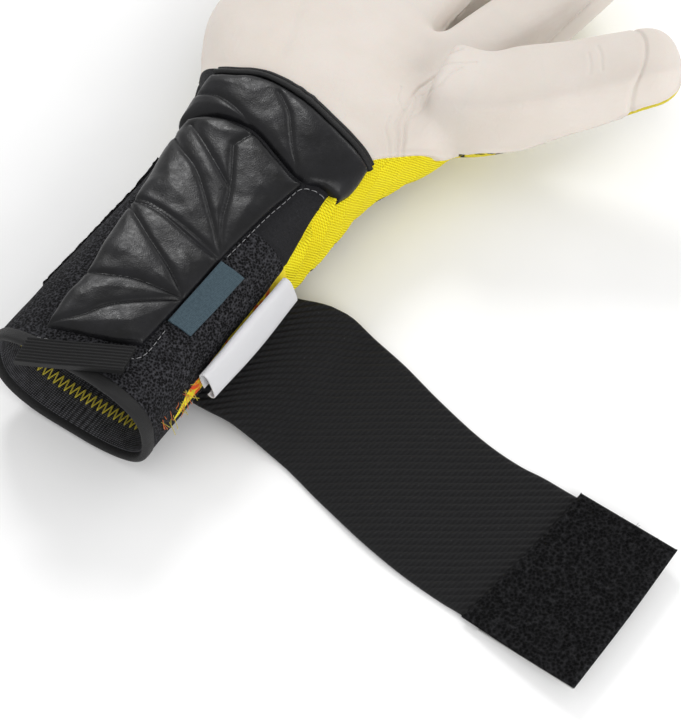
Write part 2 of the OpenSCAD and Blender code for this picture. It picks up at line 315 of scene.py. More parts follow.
def sheet_piece(name, outer, inner, material, cloth=None, closed=False):
    """A closed piece between two grids of points of the same size."""
    rows, cols = outer.shape[:2]
    faces = grid_faces(rows, cols, closed)
    points, under = outer.reshape(-1, 3), inner.reshape(-1, 3)
    normals = point_normals(points, faces)
    if ((points - under) * normals).sum() < 0:
        faces, normals = faces[:, ::-1], -normals
    flat = None if cloth is None else cloth.reshape(rows * cols, -1)
    return thick(name, points, under, faces, material, normals, flat)


def closed_tube(rings):
    """Points and triangles of a tube of rings with a cap at both ends."""
    rows, cols = rings.shape[:2]
    points = np.vstack([rings.reshape(-1, 3), rings[0].mean(0)[None], rings[-1].mean(0)[None]])
    quads = grid_faces(rows, cols, closed=True)
    j = np.arange(cols)
    k, a, b, last = (j + 1) % cols, rows * cols, rows * cols + 1, (rows - 1) * cols
    caps = np.vstack([np.stack([j * 0 + a, k, j], -1), np.stack([j * 0 + b, last + j, last + k], -1)])
    return points, np.vstack([quads[:, [0, 1, 2]], quads[:, [0, 2, 3]], caps])


def tube(path, radius, sides):
    """Points and faces of a closed round tube along a path."""
    path = np.asarray(path, float)
    n = len(path)
    r = np.broadcast_to(np.asarray(radius, float), (n,))
    tangent = np.gradient(path, axis=0)
    tangent /= np.maximum(np.linalg.norm(tangent, axis=1), 1e-9)[:, None]
    side = np.cross(tangent, [0.0, 0.0, 1.0])
    size = np.linalg.norm(side, axis=1)[:, None]
    side = np.where(size > 0.05, side / np.maximum(size, 1e-9), [1.0, 0.0, 0.0])
    up = np.cross(side, tangent)
    angle = np.linspace(0, 2 * math.pi, sides, endpoint=False)
    return closed_tube(path[:, None] + r[:, None, None] * (
        np.cos(angle)[None, :, None] * side[:, None] + np.sin(angle)[None, :, None] * up[:, None]))


def join(parts):
    """Several (points, faces) as one."""
    points, faces, n = [], [], 0
    for p, f in parts:
        points.append(p)
        faces.append(f + n)
        n += len(p)
    return np.vstack(points), np.vstack(faces)


def tube_piece(name, parts, material):
    points, faces = join(parts)
    return build(name, points, faces, material, cloth=points)


# ---- materials ---------------------------------------------------------------------

def linear(*rgb):
    """sRGB from 0 to 255 as linear colour."""
    c = np.array(rgb, float) / 255
    return tuple(float(v) for v in np.where(c < 0.04045, c / 12.92, ((c + 0.055) / 1.055) ** 2.4))


class Nodes:
    """A small writer of node materials."""

    def __init__(self, name):
        self.material = bpy.data.materials.new(name)
        self.material.use_nodes = True
        self.tree = self.material.node_tree
        self.shader = self.tree.nodes["Principled BSDF"]
        self.height = None

    def add(self, kind, **values):
        node = self.tree.nodes.new("ShaderNode" + kind)
        for key, value in values.items():
            if key[0].isupper():
                self.feed(node.inputs[key.replace("_", " ")], value)
            else:
                setattr(node, key, value)
        return node

    def feed(self, socket, value):
        if hasattr(value, "is_output"):
            self.tree.links.new(value, socket)
        else:
            if isinstance(value, tuple) and len(value) == 3 and socket.type == "RGBA":
                value = (*value, 1)
            socket.default_value = value

    def place(self, kind="Object", scale=(1, 1, 1), turn=0.0):
        """Coordinates in millimetres: of the object's space, or of the fabric."""
        if kind == "cloth":
            source = self.add("Attribute", attribute_name="cloth").outputs["Vector"]
            factor = 1.0
        else:
            source = self.add("TexCoord").outputs["Object"]
            factor = 1000.0
        mapping = self.add("Mapping", Vector=source)
        mapping.inputs["Rotation"].default_value = (0, 0, math.radians(turn))
        mapping.inputs["Scale"].default_value = tuple(factor * s for s in scale)
        return mapping.outputs["Vector"]

    def noise(self, place, scale, detail=3.0, distortion=0.0):
        return self.add("TexNoise", Vector=place, Scale=scale, Detail=detail,
                        Distortion=distortion).outputs["Fac"]

    def wave(self, place, pitch, distortion=0.0, direction="X"):
        """Bands of the given pitch in millimetres."""
        node = self.add("TexWave", Vector=place, Scale=math.pi / 10 / pitch * 2,
                        Distortion=distortion, Detail=1.0)
        node.wave_profile, node.bands_direction = "SIN", direction
        node.inputs["Detail Scale"].default_value = 1.0
        return node.outputs["Fac"]

    def math(self, operation, a, b=0.0):
        node = self.add("Math", operation=operation)
        self.feed(node.inputs[0], a)
        self.feed(node.inputs[1], b)
        return node.outputs[0]

    def ramp(self, fac, *stops):
        """Colour by value: stops are (position, colour)."""
        node = self.add("ValToRGB", Fac=fac)
        elements = node.color_ramp.elements
        while len(elements) < len(stops):
            elements.new(0.5)
        for element, (position, colour) in zip(elements, stops):
            element.position = position
            element.color = (*colour, 1)
        return node.outputs["Color"]

    def mix(self, fac, a, b):
        node = self.add("Mix", data_type="RGBA")
        self.feed(node.inputs[0], fac)
        self.feed(node.inputs[6], a)
        self.feed(node.inputs[7], b)
        return node.outputs[2]

    def bump(self, height, depth, strength=1.0):
        """Adds relief of the given depth in millimetres."""
        values = dict(Height=height, Distance=depth * MM, Strength=strength)
        if self.height is not None:
            values["Normal"] = self.height
        self.height = self.add("Bump", **values).outputs["Normal"]

    def done(self, colour, roughness, **sockets):
        self.feed(self.shader.inputs["Base Color"], colour)
        self.feed(self.shader.inputs["Roughness"], roughness)
        for key, value in sockets.items():
            self.shader.inputs[key.replace("_", " ")].default_value = value
        if self.height is not None:
            self.tree.links.new(self.height, self.shader.inputs["Normal"])
        return self.material


def latex_material():
    n = Nodes("latex")
    place = n.place()
    wide, fine = n.noise(place, 0.035, 4), n.noise(place, 1.6, 4)
    wrinkle = n.noise(n.place(scale=(1, 0.45, 1), turn=35), 0.16, 5, 0.8)
    tint = n.ramp(wide, (0.3, linear(208, 199, 190)), (0.7, linear(215, 207, 200)))
    tint = n.mix(n.math("MULTIPLY", fine, 0.25), tint, linear(199, 188, 175))
    n.bump(n.ramp(wrinkle, (0.40, (0, 0, 0)), (0.52, (1, 1, 1)), (0.62, (0.75,) * 3)), 0.12, 0.4)
    n.bump(fine, 0.07, 0.7)
    return n.done(tint, 0.62, Subsurface_Weight=0.08, Subsurface_Scale=0.004,
                  Specular_IOR_Level=0.35, Sheen_Weight=0.1)


def pad_material():
    n = Nodes("pad")
    place = n.place()
    grain = n.add("TexVoronoi", Vector=place, Scale=1.1, feature="DISTANCE_TO_EDGE").outputs["Distance"]
    cloud = n.noise(place, 0.12, 3)
    # Painted glints: sparse small bluish-grey light specks mixed into the black, standing in for highlights
    painted_glints = n.noise(place, 0.9, 2)
    tint = n.ramp(cloud, (0.3, linear(14, 14, 15)), (0.75, linear(24, 24, 27)))
    tint = n.mix(n.ramp(painted_glints, (0.72, (0, 0, 0)), (0.82, (0.4,) * 3)), tint, linear(70, 70, 76))
    n.bump(grain, 0.10, 0.55)
    n.bump(n.noise(place, 0.45, 4), 0.25, 0.35)
    rough = n.ramp(n.noise(place, 0.5, 4), (0.3, (0.27,) * 3), (0.7, (0.42,) * 3))
    return n.done(tint, rough, Specular_IOR_Level=0.24)


def knit_material(name, dark, light, pitch, depth, turn=0.0, speckle=0.35, rough=0.85):
    """A knitted or woven cloth: wales and courses of the given pitch, with lint."""
    n = Nodes(name)
    place = n.place("cloth", turn=turn)
    wales = n.wave(place, pitch, 0.6)
    courses = n.wave(place, pitch * 0.8, 0.6, direction="Y")
    loops = n.math("MULTIPLY", wales, courses)
    grain = n.noise(n.place(), 0.9 / pitch, 3)
    height = n.math("ADD", loops, n.math("MULTIPLY", grain, 0.8))
    tint = n.ramp(n.math("MULTIPLY", height, 0.6), (0.15, dark), (0.75, light))
    lint = n.ramp(n.noise(n.place(), 1.3, 2), (0.62, (0, 0, 0)), (0.72, (speckle,) * 3))
    tint = n.mix(lint, tint, tuple(3.2 * c + 0.02 for c in light))
    n.bump(height, depth, 0.9)
    return n.done(tint, rough, Specular_IOR_Level=0.2)


def ribbed_yellow():
    n = Nodes("mesh_yellow")
    place = n.place(scale=(0.15, 1, 1))
    ribs = n.wave(place, 1.5, 0.5, direction="DIAGONAL")
    cross = n.wave(n.place("cloth"), 1.1, 0.5, direction="Y")
    height = n.math("ADD", ribs, n.math("MULTIPLY", cross, 0.4))
    # Painted shade: the colour follows the ribs' height, darker and more orange in the grooves and lighter
    # on the tops
    tint = n.ramp(n.math("MULTIPLY", height, 0.7), (0.05, linear(212, 180, 0)),
                  (0.4, linear(252, 236, 20)), (0.9, linear(255, 245, 50)))
    wide = n.noise(n.place(), 0.05, 3)
    tint = n.mix(n.ramp(wide, (0.35, (0.25,) * 3), (0.6, (0, 0, 0))), tint, linear(232, 204, 0))
    n.bump(height, 0.5, 0.9)
    return n.done(tint, 0.65, Specular_IOR_Level=0.2)


def printed_mesh():
    n = Nodes("mesh_printed")
    place = n.place("cloth", turn=38)
    ribs = n.wave(place, 1.1, 0.5)
    blotch = n.noise(n.place(scale=(1, 0.35, 1), turn=-25), 0.09, 3, 1.2)
    tint = n.ramp(blotch, (0.46, linear(240, 222, 44)), (0.49, linear(24, 24, 24)),
                  (0.58, linear(24, 24, 24)), (0.61, linear(240, 222, 44)))
    tint = n.mix(n.math("MULTIPLY", n.math("SUBTRACT", 1.0, ribs), 0.35), tint, linear(40, 36, 12))
    n.bump(ribs, 0.25, 0.8)
    return n.done(tint, 0.62, Specular_IOR_Level=0.3)


def strip_material():
    n = Nodes("strip")
    place = n.place("cloth", turn=38)
    ribs = n.wave(place, 1.1, 0.5)
    blotch = n.noise(n.place(), 0.16, 2, 0.5)
    tint = n.ramp(blotch, (0.50, linear(246, 226, 40)), (0.56, linear(232, 96, 34)),
                  (0.62, linear(226, 66, 40)), (0.66, linear(246, 226, 40)))
    n.bump(ribs, 0.25, 0.8)
    return n.done(tint, 0.6, Specular_IOR_Level=0.3)


def strap_material():
    n = Nodes("elastic")
    place = n.place("cloth")
    rib = n.wave(n.place("cloth", turn=-STRAP_RIB_TURN), STRAP_RIB, 0.0)
    cross = n.wave(place, 0.62, 0.8)
    threads = n.wave(n.place("cloth", turn=-STRAP_RIB_TURN), 0.5, 0.6, direction="Y")
    height = n.math("ADD", n.math("MULTIPLY", cross, 0.5), threads)
    grain = n.noise(n.place(), 0.8, 3)
    tint = n.ramp(n.math("MULTIPLY", n.math("ADD", height, grain), 0.45),
                  (0.1, linear(9, 9, 10)), (0.8, linear(34, 34, 36)))
    tint = n.mix(n.math("MULTIPLY", n.math("SUBTRACT", 1.0, rib), 0.8), tint, linear(4, 4, 5))
    lint = n.ramp(n.noise(n.place(), 1.5, 2), (0.70, (0, 0, 0)), (0.78, (0.4,) * 3))
    tint = n.mix(lint, tint, linear(96, 96, 98))
    n.bump(height, 0.14, 0.8)
    return n.done(tint, 0.7, Specular_IOR_Level=0.3)


def fuzzy_material(name, dark, light, scale=0.75):
    n = Nodes(name)
    place = n.place()
    clump = n.add("TexVoronoi", Vector=place, Scale=scale).outputs["Distance"]
    curl = n.noise(place, 1.5, 5, 1.5)
    tint = n.ramp(n.math("MULTIPLY", clump, curl), (0.16, dark), (0.55, light))
    n.bump(n.math("ADD", curl, clump), 0.5, 0.9)
    return n.done(tint, 0.9, Specular_IOR_Level=0.15)


def satin_material(name, base, pitch=0.35, rough=0.42, sheen=0.3):
    """A tightly woven label or tape."""
    n = Nodes(name)
    place = n.place("cloth")
    warp, weft = n.wave(place, pitch, 0.4), n.wave(place, pitch * 1.3, 0.4, direction="Y")
    height = n.math("ADD", warp, n.math("MULTIPLY", weft, 0.6))
    dark = tuple(0.72 * c for c in base)
    tint = n.ramp(n.math("MULTIPLY", height, 0.62), (0.1, dark), (0.8, base))
    tint = n.mix(n.math("MULTIPLY", n.noise(n.place(), 0.09, 3), 0.25), tint, dark)
    n.bump(height, 0.06, 0.8)
    return n.done(tint, rough, Sheen_Weight=sheen, Specular_IOR_Level=0.35)


def thread_material(name, base):
    n = Nodes(name)
    ply = n.wave(n.place(turn=30), 0.5, 1.0)
    tint = n.ramp(ply, (0.1, tuple(0.6 * c for c in base)), (0.8, base))
    n.bump(ply, 0.08, 0.8)
    return n.done(tint, 0.55, Sheen_Weight=0.2)


def rubber_material():
    n = Nodes("moulded_rubber")
    place = n.place()
    speck = n.noise(place, 0.7, 4)
    tint = n.ramp(speck, (0.3, linear(22, 22, 23)), (0.8, linear(34, 34, 36)))
    n.bump(speck, 0.08, 0.6)
    return n.done(tint, n.ramp(speck, (0.2, (0.45,) * 3), (0.8, (0.6,) * 3)), Specular_IOR_Level=0.45)


STRAP_RIB, STRAP_RIB_TURN = 3.0, -42.0
latex = latex_material()
pad = pad_material()
terry = fuzzy_material("terry_knit", linear(3, 3, 4), linear(70, 70, 74), 1.05)
neoprene = knit_material("neoprene", linear(14, 14, 15), linear(46, 46, 50), 0.8, 0.16, 45, 0.12, 0.75)
black_mesh = knit_material("mesh_black", linear(10, 10, 11), linear(28, 28, 30), 1.0, 0.3, 30, 0.2, 0.8)
lining = knit_material("lining", linear(150, 150, 146), linear(196, 196, 192), 0.9, 0.2, 0, 0.1, 0.8)
facing = knit_material("facing", linear(7, 7, 8), linear(96, 96, 100), 2.1, 0.4, 0, 0.1, 0.75)
yellow, printed, strip = ribbed_yellow(), printed_mesh(), strip_material()
elastic = strap_material()
hook = fuzzy_material("hook", linear(3, 3, 4), linear(44, 44, 46))
loop = fuzzy_material("loop", linear(6, 6, 7), linear(38, 38, 40))
binding = satin_material("binding", linear(17, 17, 18), 0.7, 0.55, 0.0)
label_grey = knit_material("label_grey", linear(42, 57, 66), linear(84, 104, 114), 0.75, 0.16, 0, 0.0, 0.6)
label_white = satin_material("label_white", linear(238, 238, 241), 0.3, 0.4, 0.2)
backing = satin_material("backing", linear(196, 196, 194), 0.6, 0.7, 0.0)
pale_thread = thread_material("thread_pale", linear(150, 150, 152))
yellow_thread = thread_material("thread_yellow", linear(226, 208, 60))
orange_thread = thread_material("thread_orange", linear(236, 120, 40))
rubber = rubber_material()

# ---- the skin: one surface round the cuff, the palm and the stalls ----------------

VOXEL = 1.3


def stall_rings(f):
    total = sum(f["run"])
    s = np.r_[np.arange(-16, total - TIP_ROUND, 2.0), total - TIP_ROUND
              + (TIP_ROUND + TIP_OVER) * np.sin(np.linspace(0, math.pi / 2, 12))]
    centre, side, up, w, h = (v[:, None] for v in stall_frame(f, s))
    u = np.radians(np.arange(0, 360, 6))[None, :, None]
    return (centre + side * w[..., None] * soft(np.cos(u), FINGER_ROUND)
            + up * h[..., None] * soft(np.sin(u), FINGER_ROUND))


def make_skin():
    """Points and triangles of the union of all the tubes, remeshed in voxels."""
    u = np.arange(0, 360, 3.0)
    y = np.r_[-CUFF_LEN - 5, np.arange(-CUFF_LEN, PALM_LEN + 1, 3.0)]
    rings = shell(np.maximum(y, -CUFF_LEN)[:, None], u[None, :])
    rings[0, :, 1] = y[0]
    points, faces = join([closed_tube(rings)] + [closed_tube(stall_rings(f)) for f in STALLS])
    source = build("skin_source", points, faces, latex)
    voxels = source.modifiers.new("voxels", "REMESH")
    voxels.mode, voxels.voxel_size = "VOXEL", VOXEL * MM
    made = source.evaluated_get(bpy.context.evaluated_depsgraph_get()).to_mesh()
    made.calc_loop_triangles()
    v = np.zeros(len(made.vertices) * 3, np.float32)
    made.vertices.foreach_get("co", v)
    t = np.zeros(len(made.loop_triangles) * 3, np.int32)
    made.loop_triangles.foreach_get("vertices", t)
    bpy.data.objects.remove(source)
    return v.reshape(-1, 3).astype(float) / MM, t.reshape(-1, 3)


def triangle_sides(t):
    """The sides of triangles as pairs of points, the lower number first."""
    return np.sort(np.vstack([t[:, [0, 1]], t[:, [1, 2]], t[:, [2, 0]]]), axis=1)


def relax(v, t, weight, rounds):
    """Moves each point towards the middle of its neighbours by its weight."""
    edges = np.unique(triangle_sides(t), axis=0)
    a, b = edges[:, 0], edges[:, 1]
    count = np.bincount(a, minlength=len(v)) + np.bincount(b, minlength=len(v))
    for _ in range(rounds):
        mean = np.stack([np.bincount(a, v[b, i], len(v)) + np.bincount(b, v[a, i], len(v))
                         for i in range(3)], -1) / np.maximum(count, 1)[:, None]
        v = v + weight[:, None] * (mean - v)
    return v


THUMB_ROOT = STALLS[THUMB]["root"]
THUMB_OUT = along(80.0, 0.0)


def thumb_side(p, web_shift=0.0):
    """Distance past the thumb's root, above 0 only on the thumb. web_shift moves the limit
    in the web between thumb and index finger towards the fingers."""
    out = (p - THUMB_ROOT) @ THUMB_OUT
    web = (p[:, 0] - 49) * 0.83 - (p[:, 1] - 106) * 0.56
    return np.minimum(out, web + web_shift)


def fan_reach(p):
    return np.hypot(p[:, 0] - FAN_X, p[:, 1] - FAN_Y) - FAN_R - 1.5


def fan_angle(p):
    return np.degrees(np.arctan2(p[:, 0] - FAN_X, p[:, 1] - FAN_Y))


def within(u, low, high):
    """Degrees inside the range of angles from low to high; below 0 outside it."""
    middle, half = (low + high) / 2, np.radians((high - low) / 2)
    return np.degrees((np.cos(np.radians(u - middle)) - np.cos(half)) / np.maximum(np.sin(half), 0.2))


def gusset_top(y):
    """Angle of the upper edge of the yellow gusset, by station."""
    return rounded(y, [-100, -92, -84, -68, -48, -31, -14, 1, 19, 34, 42, 47, 58, 70, 85],
                   [-12, -7, 1, 5, 8, 10, 15, 27, 34, 34, 28, 20, 8, -8, -26], 3)


def little_edge(y):
    """Angle where the palm's side ends on the little finger's side."""
    return 156 + 18 * smoothstep(y, 30, 42)


def strip_low(y):
    """Angle of the lower edge of the cuff's printed strip, by station."""
    return np.interp(y, [-98, -40, -22, -14], [-9, -5, -8, -24])


def thumb_low(s):
    """Angle of the lower edge of the thumb's latex, by the way along the thumb."""
    return -38 + 24 * (1 - smoothstep(s, -4, 22)) + 24 * smoothstep(s, 46, 60)


THUMB_FAR = 218.0  # angle of the thumb's latex edge on the fingers' side
FAN_STEP = 11  # degrees from one finger to the next


def latex_field(p):
    """Degrees inside the area of the palm's latex, round palm, fingers and thumb."""
    y, u = shell_coords(p)
    field = within(u, gusset_top(y), little_edge(y))
    k = np.clip(np.round(1.5 - fan_angle(p) / FAN_STEP), 0, 3).astype(int)
    past = smoothstep(fan_reach(p), -9, 4)
    for i in range(4):
        chosen = (k == i) & (past > 0)
        if chosen.any():
            inside = within(stall_coords(p[chosen], STALLS[i])[1], 8.0, 172.0)
            field[chosen] += past[chosen] * (inside - field[chosen])
    past = smoothstep(thumb_side(p, 6), -10, 10)
    chosen = past > 0
    s, u = stall_coords(p[chosen], STALLS[THUMB])
    inside = within(u, thumb_low(s), THUMB_FAR)
    field[chosen] += past[chosen] * (inside - field[chosen])
    return field


# Creases of the latex seen from above: depth, width and points
CREASES = [
    (0.55, 0.7, [(45, 39), (41, 49), (36, 60), (34, 70), (34, 82), (40, 96)]),
    (0.4, 0.55, [(47, 43), (42, 53), (39, 62), (35, 72)]),
    (0.35, 0.55, [(43, 50), (40, 62), (42, 74), (47, 87)]),
    (0.3, 0.5, [(35, 63), (30, 67), (27, 74)]),
    (0.3, 0.55, [(37, 75), (42, 86), (50, 93)]),
    (0.3, 0.5, [(40, 45), (35, 52), (33, 58)]),
    (0.22, 0.55, [(92, 108), (90, 113), (87, 117)]),
    (0.22, 0.55, [(95, 111), (93, 116), (89, 121)]),
    (0.6, 5.0, [(22, 50), (26, 66), (27, 84)]),
    (0.5, 3.0, [(-20, 60), (-26, 76), (-34, 92)]),
]
CREASES = [(depth, width, spline(line, 14)) for depth, width, line in CREASES]
WRAP_SEAM = spline([(84, 140), (92, 137), (101, 133), (107, 125), (109.5, 116), (108, 108)], 16)
FOLD_PITCH = 15.0  # from one fold of the side gusset to the next


def relief(p):
    """How far the skin's surface stands out from the smooth one, in millimetres."""
    y, u = shell_coords(p)
    inside = latex_field(p)
    on_hand = smoothstep(y, WRIST_CUT - 4, WRIST_CUT + 6)
    from_seam = inside * SKIN_CLOTH
    out = -0.8 * np.exp(-(from_seam**2)) * on_hand
    out += 0.9 * np.exp(-(((from_seam - 3.0) / 2.0) ** 2)) * smoothstep(y, 44, 52)
    is_latex = smoothstep(inside, 0, 4) * smoothstep(y, 41, 46)
    out += is_latex * (0.5 * noise(p, 30) + 0.12 * noise(p, 12) + 0.03 * noise(p, 4))
    top = is_latex * smoothstep(p[:, 2], 22, 32)
    near = top > 0.01
    if near.any():
        q = p[near][:, :2]
        pull = np.zeros(len(q))
        wobble = np.stack([noise(p[near], 7), noise(p[near] + 40, 7)], -1) * 1.4
        for depth, width, line in CREASES:
            d = distance_to(q + wobble, line)
            pull -= depth * np.exp(-((d / width) ** 2))
            pull += 0.22 * depth * np.exp(-(((d - 2.6 * width) / (1.6 * width)) ** 2))
        d = distance_to(q, WRAP_SEAM)
        pull -= 0.9 * np.exp(-((d / 0.7) ** 2)) * smoothstep(p[near][:, 0], 80, 88)
        out[near] += top[near] * pull
    side = smoothstep(-inside, 1, 6) * smoothstep(y, -22, -8) * (1 - smoothstep(y, 58, 70)) \
        * smoothstep(np.cos(np.radians(u)), 0.3, 0.7)
    sweep = y - ((u + 180) % 360) * SKIN_CLOTH + 1.8 * noise(p, 18)
    phase = (sweep / FOLD_PITCH) % 1.0
    fold = phase**1.5 * (1 - smoothstep(phase, 0.93, 1.0))
    tight = 1 - 0.6 * smoothstep(y, 12, 30)
    crease = np.exp(-(((phase - 0.96) / 0.035) ** 2))
    out += side * (4.2 * fold * tight - 1.4 - 1.3 * crease + 0.3 * noise(p, 6))
    cuff = smoothstep(-y, 14, 24)
    out += cuff * (0.35 * noise(p, 17) + 0.16 * noise(p, 6))
    seam = np.exp(-(((y - WRIST_CUT) / 0.7) ** 2)) * (np.sin(np.radians(u)) > -0.2)
    return out - 0.45 * seam


def displaced(p, n):
    """Points moved by the relief along their normals, and the normals of the new surface."""
    helper = np.where(np.abs(n[:, 2:3]) < 0.8, [0.0, 0.0, 1.0], [1.0, 0.0, 0.0])
    t1 = np.cross(n, helper)
    t1 /= np.linalg.norm(t1, axis=1)[:, None]
    t2 = np.cross(n, t1)
    step = 0.35
    h = relief(p)
    slope = [(relief(p + step * t) - relief(p - step * t)) / (2 * step) for t in (t1, t2)]
    m = n - slope[0][:, None] * t1 - slope[1][:, None] * t2
    return p + n * h[:, None], m / np.linalg.norm(m, axis=1)[:, None]


def cut(v, t, field):
    """Cuts triangles along the zero line of a field: the part below and the part above it.
    v holds a point, its normal and its place in the cloth in each row."""
    f = field(v[:, :3]).astype(float)
    v = v.copy()
    edges = np.unique(triangle_sides(t), axis=0)
    fa, fb = f[edges[:, 0]], f[edges[:, 1]]
    share = np.where(fa * fb < 0, fa / np.where(fa == fb, 1, fa - fb), 0.5)
    for end, other, near in ((0, 1, share < 0.2), (1, 0, share > 0.8)):
        chosen = near & (fa * fb < 0)
        a, b = edges[chosen, end], edges[chosen, other]
        s = (share[chosen] if end == 0 else 1 - share[chosen])[:, None]
        v[a] = v[a] + s * (v[b] - v[a])
        f[a] = 0
    fa, fb = f[edges[:, 0]], f[edges[:, 1]]
    crossing = fa * fb < 0
    a, b = edges[crossing, 0], edges[crossing, 1]
    s = (f[a] / (f[a] - f[b]))[:, None]
    new = {(int(i), int(j)): len(v) + n for n, (i, j) in enumerate(zip(a, b))}
    v = np.vstack([v, v[a] + s * (v[b] - v[a])])
    f = np.r_[f, np.zeros(len(a))]
    signs = np.sign(f[t])
    mixed = (signs.max(1) > 0) & (signs.min(1) < 0)
    pieces = []
    for tri in t[mixed]:
        ring = []
        for i, j in zip(tri, np.roll(tri, -1)):
            ring.append(int(i))
            key = (int(min(i, j)), int(max(i, j)))
            if key in new:
                ring.append(new[key])
        first, second = [n for n, i in enumerate(ring) if f[i] == 0][:2]
        for part in (ring[first:second + 1], ring[second:] + ring[:first + 1]):
            pieces += [(part[0], part[n], part[n + 1]) for n in range(1, len(part) - 1)]
    t = np.vstack([t[~mixed], np.array(pieces, int).reshape(-1, 3)])
    above = f[t].sum(1) > 0
    return (compact(v, t[~above]), compact(v, t[above]))


def compact(v, t):
    """Triangles with only the points that they use."""
    used, index = np.unique(t, return_inverse=True)
    return v[used], index.reshape(-1, 3)


def refine(v, t):
    """Each triangle in four, with the new points lifted to the curved surface."""
    unique, index = np.unique(triangle_sides(t), axis=0, return_inverse=True)
    a, b = v[unique[:, 0]], v[unique[:, 1]]
    m = (a + b) / 2
    for end in (a, b):
        n = end[:, 3:6]
        m[:, :3] -= 0.375 * (((a + b)[:, :3] / 2 - end[:, :3]) * n).sum(1)[:, None] * n
    m[:, 3:6] /= np.linalg.norm(m[:, 3:6], axis=1)[:, None]
    ab, bc, ca = (index.reshape(3, -1) + len(v))
    i, j, k = t.T
    return np.vstack([v, m]), np.vstack([np.stack(s, -1) for s in
                                         ((i, ab, ca), (ab, j, bc), (ca, bc, k), (ab, bc, ca))])


def skin_piece(name, mesh, thickness, material, finer=0):
    """A closed piece of the skin with its relief. finer counts the times it is refined."""
    v, t = mesh
    for _ in range(finer):
        v, t = refine(v, t)
    outer, normals = displaced(v[:, :3], v[:, 3:6])
    inner = v[:, :3] - v[:, 3:6] * thickness
    return thick(name, outer, inner, t, material, normals, v[:, 6:8])


def finish_piece(obj, nodes=(), body=None, bend=None):
    """Hides the CAD parts that a piece stands for, and puts the piece on its body; given a bend, it only
    bakes the piece's place into its points.
    """
    if nodes:
        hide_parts(*nodes)
    if bend:
        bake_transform(obj)
    else:
        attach(obj, body)


points, triangles = make_skin()
points = relax(points, triangles, np.full(len(points), 0.5), 5)
near_thumb = np.exp(-((np.linalg.norm(points - [52, 88, 34], axis=1) / 30) ** 2))
near_roots = np.exp(-((fan_reach(points) / 9) ** 2)) * (points[:, 1] > 60)
points = relax(points, triangles, 0.6 * np.maximum(near_thumb, 0.6 * near_roots), 40)
station, angle = shell_coords(points)
skin = np.hstack([points, point_normals(points, triangles),
                  np.stack([(angle + 90) % 360 * SKIN_CLOTH, station], -1)])
skin = cut(skin, triangles, lambda p: p[:, 1] + CUFF_LEN)[1]
skin, thumb = cut(*skin, thumb_side)
hand, fingers = cut(*skin, lambda p: fan_reach(p) - 1)

# The stalls: each is cut into a lower piece by the root and an upper one by the fold
stall_meshes = []
for k in range(3):
    fingers, mesh = cut(*fingers, lambda p: fan_angle(p) - FAN_STEP * (1 - k))
    stall_meshes.append(mesh)
stall_meshes += [fingers, thumb]


def thumb_back(p):
    """Degrees inside the backhand of the thumb, which shows beside the tip."""
    s, u = stall_coords(p, STALLS[THUMB])
    return within(u, THUMB_FAR, 360 + thumb_low(s))


for k, mesh in enumerate(stall_meshes):
    f, name, is_thumb = STALLS[k], NAMES[k], k == THUMB
    split_at = 25.0 if is_thumb else 0.5 * f["run"][0]
    lower, tip = cut(*mesh, lambda p: stall_coords(p, f)[0] - split_at)
    a0 = along(f["yaw"], f["pitch"][0])
    fold = f["root"] + f["run"][0] * a0
    bends = {
        "lower": ("hand", name + "_lower", f["root"], f["root"] + 14 * THUMB_OUT) if is_thumb
        else ("hand", name + "_lower", f["root"] + 1 * a0, f["root"] + 16 * a0),
        "tip": (name + "_lower", name + "_tip", fold - 9 * a0, fold + 9 * a0),
    }
    for section, part in (("lower", lower), ("tip", tip)):
        around = thumb_back if is_thumb \
            else (lambda p: within(stall_coords(p, f)[1], 220.0, 320.0))
        front, back = cut(*part, around)
        nodes = {p: f"{name}_{section}_{p}" for p in ("latex", "gusset", "back")}
        if is_thumb:
            obj = skin_piece(nodes["latex"] + "_skin", front, 3.0, latex, finer=1)
            finish_piece(obj, (nodes["latex"], nodes["gusset"]), bend=bends[section])
        else:
            side, top = cut(*front, latex_field)
            for node, half, thickness in ((nodes["latex"], top, 3.0), (nodes["gusset"], side, 2.0)):
                obj = skin_piece(node + "_skin", half, thickness, latex)
                finish_piece(obj, (node,), bend=bends[section])
        obj = skin_piece(nodes["back"] + "_skin", back, 2.5, printed)
        finish_piece(obj, (nodes["back"],), bend=bends[section])

# The hand and the cuff
TOP_EDGE = [(-36.5, 37), (-28, 39.5), (-17, 43.5), (0, 43), (18, 38.5), (30, 36), (37, 34)]


def latex_front(p):
    """Distance past the rolled edge of the heel pad."""
    return shell_coords(p)[0] - 4.6 - np.interp(p[:, 0], *np.array(TOP_EDGE).T)


def sector(low, high):
    """Field above 0 between two edges round the shell, each given as its angle by station."""
    def field(p):
        y, u = shell_coords(p)
        return within(u, low(y), high(y))
    return field


LITTLE_LOW, THUMB_EDGE = 204.0, 336.0  # angles of the edges of the back
cuff, hand = cut(*hand, lambda p: shell_coords(p)[0] - WRIST_CUT)
low, palm = cut(*hand, latex_field)
front, palm = cut(*palm, latex_front)
low, little = cut(*low, sector(lambda y: 150.0, lambda y: LITTLE_LOW))
low, back = cut(*low, sector(lambda y: LITTLE_LOW, lambda y: THUMB_EDGE))
cuff, knit_top = cut(*cuff, sector(gusset_top, lambda y: 180.0))
cuff, side_strip = cut(*cuff, sector(strip_low, gusset_top))

